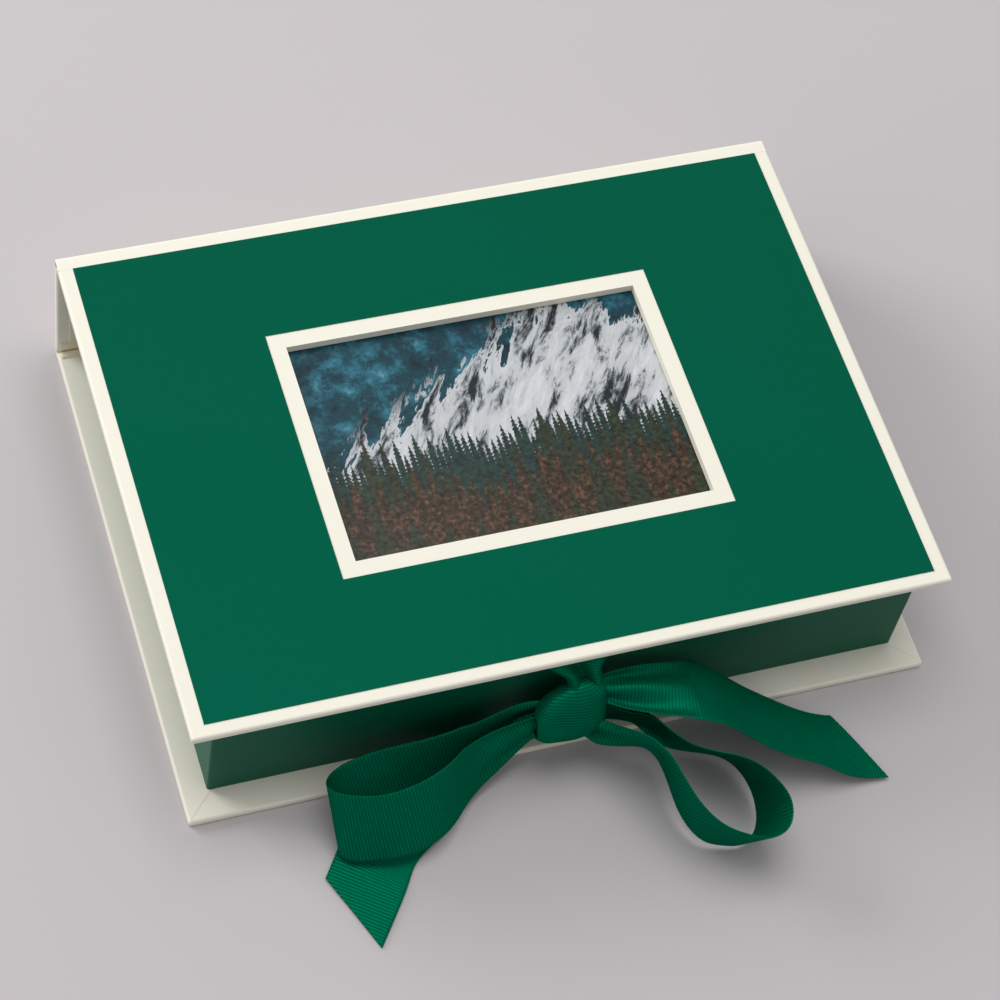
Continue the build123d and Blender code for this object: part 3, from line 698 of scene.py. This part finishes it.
pivot = {joint["name"]: np.array(joint["pos_m"])[1:] for joint in frame["joints"] if joint["type"] == "hinge"}
spine_lean = -math.degrees(math.atan2(*(pivot["lid_hinge"] - pivot["spine_hinge"])))
board_half = 0.0015       # half a wrapped board, and how far its edges stand off a pivot
fold_radius = 0.00153     # outside of the joint paper, a hair proud of the boards
joint_half_length = 0.1277
lining_half_length = 0.1267
lining_thickness = 0.0002
edge_tail = 0.0018        # how far a joint paper runs on over a board
lid_lap = 0.0040          # and over the lid, as far as the green panel
arc_points = 13
joint_columns = 31

# The joint linings, from the lower body to the upper one: each laps over the boards as far as the liner
# sheets, and folds into the groove between them.
lower_groove = pivot["spine_hinge"] + mm(
    (-4.55, 1.62), (-3.15, 1.62), (-1.95, 1.6), (-1.4, 1.25), (-0.75, 0.6), (-0.25, 0.2), (-0.45, 0.8),
    (-1.05, 1.5), (-1.43, 2.0), (-1.43, 3.1), (-1.3, 6.3))
upper_groove = pivot["lid_hinge"] + mm(
    (-1.87, -6.1), (-1.75, -3.3), (-1.65, -2.2), (-1.45, -1.63), (-0.95, -1.25), (-0.35, -0.6), (-0.25, -0.3),
    (-0.55, -0.5), (-1.15, -0.95), (-1.7, -1.4), (-2.15, -1.6), (-3.95, -1.62), (-6.25, -1.62))


def joint_profile(centre, radius, from_angle, to_angle, tail, last_tail):
    """A straight tail, an arc c + r (cos a, sin a), and a straight tail. Each tail has a last short step, so
    that the turn of its smooth shading stays at the cut edge."""
    angles = np.radians(np.linspace(from_angle, to_angle, arc_points))
    arc = centre + radius * np.stack([np.cos(angles), np.sin(angles)], -1)
    turn = np.sign(to_angle - from_angle)
    first = np.array([-np.sin(angles[0]), np.cos(angles[0])]) * turn
    last = np.array([-np.sin(angles[-1]), np.cos(angles[-1])]) * turn
    steps = np.array([1, 0.98, 0.5, 0])[:, None]
    before = arc[0] - first * steps * tail
    after = arc[-1] + last * steps[::-1] * last_tail
    return np.concatenate([before[:-1], arc, after[1:]])


def make_joint_paper(name, line, half_length, thickness, material, bodies, start, end, replaced=None):
    """A strip along X over a line in the YZ plane: P(s, x) = (x, line(s)), as thick as the paper. Bodies,
    start and end are not used."""
    near_edge = half_length - thickness
    x = np.concatenate([[-half_length], np.linspace(-near_edge, near_edge, joint_columns), [half_length]])
    middle = np.zeros((len(line), len(x), 3))
    middle[..., 0] = x
    middle[..., 1:] = line[:, None]
    points, faces = thick_sheet(middle, np.full(middle.shape[:2], thickness / 2))
    piece = piece_from(name, points, faces, material)
    if replaced:
        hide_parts(replaced)
    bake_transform(piece)


class BOX_OT_joints(BoxOperator, bpy.types.Operator):
    """Fold the papers of the two joints, outside and in the groove inside"""
    bl_idname = "photobox.joints"
    bl_label = "Joint papers"

    def execute(self, context):
        thickness = context.scene.box_paper.joint_thickness
        lower, upper = pivot["spine_hinge"], pivot["lid_hinge"]
        below, behind = np.array([0, -board_half]), np.array([board_half, 0])
        radius = fold_radius - thickness / 2
        cover = joint_half_length, thickness, cover_paper()
        outside = joint_profile(lower, radius, -90, spine_lean, edge_tail, edge_tail)
        make_joint_paper("lower_joint_paper", outside, *cover, ("base", "spine"),
                         lower + below, lower + behind, "lower_joint_strip")
        outside = joint_profile(upper, radius, spine_lean, 90, edge_tail, lid_lap)
        make_joint_paper("upper_joint_paper", outside, *cover, ("spine", "lid"),
                         upper + behind, upper - below, "upper_joint_strip")
        lining = lining_half_length, lining_thickness, lining_paper()
        make_joint_paper("lower_joint_lining", lower_groove, *lining, ("base", "spine"),
                         lower + mm(-1.8, 1.5), lower + mm(-1.5, 1.8))
        make_joint_paper("upper_joint_lining", upper_groove, *lining, ("spine", "lid"),
                         upper + mm(-1.45, -1.8), upper + mm(-1.8, -1.5))
        return {"FINISHED"}


# ---- bow ------------------------------------------------------------------

class BOX_OT_loops(BoxOperator, bpy.types.Operator):
    """Lay the two loops of the bow"""
    bl_idname = "photobox.loops"
    bl_label = "Bow loops"

    def execute(self, context):
        left = bow_surface(left_loop_stations, knot_ends=2, gathered=loop_gathered, wave=0.2)
        make_ribbon("left_loop_ribbon", left, "bow_left_loop")
        right = bow_surface(right_loop_stations, knot_ends=2, gathered=loop_gathered)
        make_ribbon("right_loop_ribbon", right, "bow_right_loop")
        return {"FINISHED"}


class BOX_OT_tails(BoxOperator, bpy.types.Operator):
    """Lay the two tails of the bow, cut on a slant"""
    bl_idname = "photobox.tails"
    bl_label = "Bow tails"

    def execute(self, context):
        left = bow_surface(left_tail_stations, knot_ends=1, gathered=left_tail_gathered,
                           cut_run=tail_cut_run, wave=0.3)
        make_ribbon("left_tail_ribbon", left, "bow_left_tail")
        right = bow_surface(right_tail_stations, knot_ends=1, gathered=right_tail_gathered,
                            cut_run=tail_cut_run)
        make_ribbon("right_tail_ribbon", right, "bow_right_tail")
        return {"FINISHED"}


# Sections of the knot from left to right: the share of its width across, how far its middle lies up and
# forward in millimetres, then the shares of the knot's height and depth.
knot_sections = np.array([
    (-0.480, -2.4, 1.35, 0.40, 0.50),
    (-0.390, -1.6, 1.0, 0.64, 0.76),
    (-0.200, -0.7, 0.4, 0.86, 0.92),
    (0.040, 0.1, 0.0, 1.00, 1.00),
    (0.260, 0.8, -0.2, 1.00, 1.00),
    (0.400, 1.7, 0.0, 0.88, 0.88),
    (0.467, 2.6, 0.3, 0.72, 0.70),
    (0.500, 2.9, 0.4, 0.58, 0.52),
])
knot_middle = mm(-4.0, -95.55, 26.7)
knot_size = mm(24.0, 10.0, 22.0)
knot_tilt = math.radians(22)
knot_turns = 420          # points round the knot
knot_columns = 49         # and across it
fan_height = 0.024        # up the knot's front, over which its ribs fan out
fan_spread = 0.016


class BOX_OT_knot(BoxOperator, bpy.types.Operator):
    """Wind the band of ribbon round the crossing: on a section of half depth d and half height h,
    forward = d cos a and up = d sin a + (h - d) 1.15 sin a / (|sin a| + 0.15), leaning back by the tilt"""
    bl_idname = "photobox.knot"
    bl_label = "Knot"

    def execute(self, context):
        ribbon = context.scene.box_ribbon
        a = np.linspace(-0.5 * math.pi, 1.5 * math.pi, knot_turns, endpoint=False)[:, None]
        b = np.linspace(knot_sections[0, 0], knot_sections[-1, 0], knot_columns)
        lift, ahead, tall, deep = smooth_line(knot_sections[:, 1:], knot_sections[:, 0], b).T
        half_deep, half_tall = knot_size[1] / 2 * deep, knot_size[2] / 2 * tall
        forward = half_deep * np.cos(a) + ahead / 1000
        sides = 1.15 * np.sin(a) / (np.abs(np.sin(a)) + 0.15)
        rise = half_deep * np.sin(a) + (half_tall - half_deep) * sides + lift / 1000
        middle = np.stack([knot_middle[0] + knot_size[0] * np.broadcast_to(b, rise.shape),
                           knot_middle[1] - forward * math.cos(knot_tilt) + rise * math.sin(knot_tilt),
                           knot_middle[2] + forward * math.sin(knot_tilt) + rise * math.cos(knot_tilt)], -1)
        # The ribs keep their pitch from the foot of the front upwards, and fan out a little to the right.
        steps = np.linalg.norm(np.diff(middle, axis=0, prepend=middle[:1]), axis=-1)
        up_front = np.cumsum(steps, axis=0)
        fan = np.clip(1.25 - up_front / fan_height, 0, 1) * fan_spread * (b + 0.15) ** 2
        u = up_front + fan
        v = np.broadcast_to(b * ribbon.width, u.shape)
        relief = ribbon.rib_height / 2 * np.cos(math.pi * u / ribbon.rib_pitch) ** 2
        points, faces = thick_sheet(middle, ribbon.thickness / 2 + relief, closed=True)
        uv = np.stack([ring_of(u), ring_of(v)], -1) * 1000
        piece = piece_from("knot_band", points, faces, grosgrain(), uv)
        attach(piece, "base")
        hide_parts("bow_knot")
        return {"FINISHED"}


lid_lead_stations = [
    ((0, -68.0, 48.3), (25, 0, 0)),
    ((0, -78.0, 48.3), (25, 0, 0)),
    ((0, -85.0, 48.3), (25, 0, 0)),
    ((0, -86.9, 47.6), (25, 0, 0)),
    ((-0.8, -88.4, 45.0), (25, 0, 0)),
    ((0.4, -90.0, 41.5), (24, 0, 1)),
    ((1.6, -92.0, 37.5), (23, 0, 2)),
    ((2.0, -94.0, 33.0), (22, 0, 2)),
]

base_lead_stations = [
    ((0, -67.0, 3.3), (25, 0, 0)),
    ((0, -76.0, 3.3), (25, 0, 0)),
    ((0, -84.6, 3.3), (25, 0, 0)),
    ((0, -87.6, 3.5), (25, 0, 0)),
    ((-2, -92.0, 5.6), (25, 0, 0)),
    ((-3.5, -94.6, 9.5), (25, 0, 0)),
    ((-4, -96.6, 15.5), (25, 0, 0)),
    ((-4, -96.8, 20.0), (25, 0, 0)),
]


def lead_surface(stations, narrow, from_length, over_length, folds=1.5, wave=-0.7):
    """A lead: flat where it is glued, then eased down to a share of its width, its wave away from the eye."""
    path = ribbon_path(stations)
    u, v = strip_grid(path[2][-1])
    share = 1 - (1 - narrow) * eased((u - from_length) / over_length)
    return woven_strip(path, u, v, share, wave, folds)


class BOX_OT_leads(BoxOperator, bpy.types.Operator):
    """Lead the ribbon from the lid and from under the tray to the knot"""
    bl_idname = "photobox.leads"
    bl_label = "Ribbon leads"

    def execute(self, context):
        upper = lead_surface(lid_lead_stations, narrow=0.46, from_length=0.0175, over_length=0.011)
        make_ribbon("lid_lead_ribbon", upper, "lid_ribbon_lead", body="lid")
        lower = lead_surface(base_lead_stations, narrow=0.5, from_length=0.02, over_length=0.012)
        make_ribbon("base_lead_ribbon", lower, "base_ribbon_lead")
        return {"FINISHED"}


# ---- stage ----------------------------------------------------------------

floor_half = 3.0
window_size, window_place = 1.02, (-1.41, 1.41, 0.92)
ceiling_size, ceiling_place = 1.4, (-0.05, 0.3, 2.0)


def soft_lamp(name, power, size, place):
    """A square area lamp that looks at the box."""
    lamp = bpy.data.lights.new(name, "AREA")
    lamp.energy = power
    lamp.shape, lamp.size = "SQUARE", size
    stand = bpy.data.objects.new(name, lamp)
    stand.location = place
    stand.rotation_euler = (-stand.location).to_track_quat("-Z", "Y").to_euler()
    bpy.context.scene.collection.objects.link(stand)


class BOX_OT_stage(BoxOperator, bpy.types.Operator):
    """Set the floor, the soft lamps and the camera"""
    bl_idname = "photobox.stage"
    bl_label = "Floor, light and camera"

    def execute(self, context):
        stage = context.scene.box_stage
        corners = np.array([[-1, -1, 0], [1, -1, 0], [1, 1, 0], [-1, 1, 0]]) * floor_half
        floor = piece_from("studio_floor", corners, [[0, 1, 2, 3]], studio_floor())
        world = bpy.data.worlds.new("room")
        world.use_nodes = True
        background = world.node_tree.nodes["Background"]
        background.inputs["Color"].default_value = (1, 1, 1, 1)
        background.inputs["Strength"].default_value = stage.room_strength
        context.scene.world = world
        soft_lamp("window_light", stage.window_power, window_size, window_place)
        soft_lamp("ceiling_light", stage.ceiling_power, ceiling_size, ceiling_place)
        a, b, c = stage.camera_heading, stage.camera_fall, stage.camera_roll
        ahead = np.array([-math.sin(a) * math.cos(b), math.cos(a) * math.cos(b), -math.sin(b)])
        level = np.array([math.cos(a), math.sin(a), 0])
        over = np.cross(level, ahead)
        right = level * math.cos(c) + over * math.sin(c)
        up = over * math.cos(c) - level * math.sin(c)
        data = bpy.data.cameras.new("camera")
        data.sensor_width = 36
        data.lens = stage.lens
        data.clip_start, data.clip_end = 0.05, 20
        camera = bpy.data.objects.new("camera", data)
        turned = Matrix([(*pair, place) for (*pair, place) in zip(right, up, -ahead, stage.camera_place)])
        turned.resize_4x4()
        camera.matrix_world = turned
        context.scene.collection.objects.link(camera)
        context.scene.camera = camera
        context.scene.view_settings.view_transform = "Standard"
        return {"FINISHED"}


operators = (BOX_OT_boards, BOX_OT_cover, BOX_OT_green, BOX_OT_print, BOX_OT_joints, BOX_OT_loops,
             BOX_OT_tails, BOX_OT_knot, BOX_OT_leads, BOX_OT_stage)


class BOX_PT_panel(bpy.types.Panel):
    bl_idname = "BOX_PT_panel"
    bl_label = "Photo storage box"
    bl_space_type = "VIEW_3D"
    bl_region_type = "UI"
    bl_category = "Photo Box"

    def draw(self, context):
        for operator in operators:
            self.layout.operator(operator.bl_idname)
        for group in (context.scene.box_paper, context.scene.box_ribbon, context.scene.box_stage):
            for key in group.__annotations__:
                self.layout.prop(group, key)


classes = (PaperSettings, RibbonSettings, StageSettings, *operators, BOX_PT_panel)


def register():
    for kind in classes:
        bpy.utils.register_class(kind)
    bpy.types.Scene.box_paper = bpy.props.PointerProperty(type=PaperSettings)
    bpy.types.Scene.box_ribbon = bpy.props.PointerProperty(type=RibbonSettings)
    bpy.types.Scene.box_stage = bpy.props.PointerProperty(type=StageSettings)


def unregister():
    del bpy.types.Scene.box_stage, bpy.types.Scene.box_ribbon, bpy.types.Scene.box_paper
    for kind in reversed(classes):
        bpy.utils.unregister_class(kind)


def main():
    """Sets the stage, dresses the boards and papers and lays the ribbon."""
    register()
    bpy.ops.photobox.stage()
    bpy.ops.photobox.boards()
    bpy.ops.photobox.cover()
    bpy.ops.photobox.green()
    bpy.ops.photobox.print()
    bpy.ops.photobox.joints()
    bpy.ops.photobox.loops()
    bpy.ops.photobox.tails()
    bpy.ops.photobox.knot()
    bpy.ops.photobox.leads()


if __name__ == "__main__":
    main()
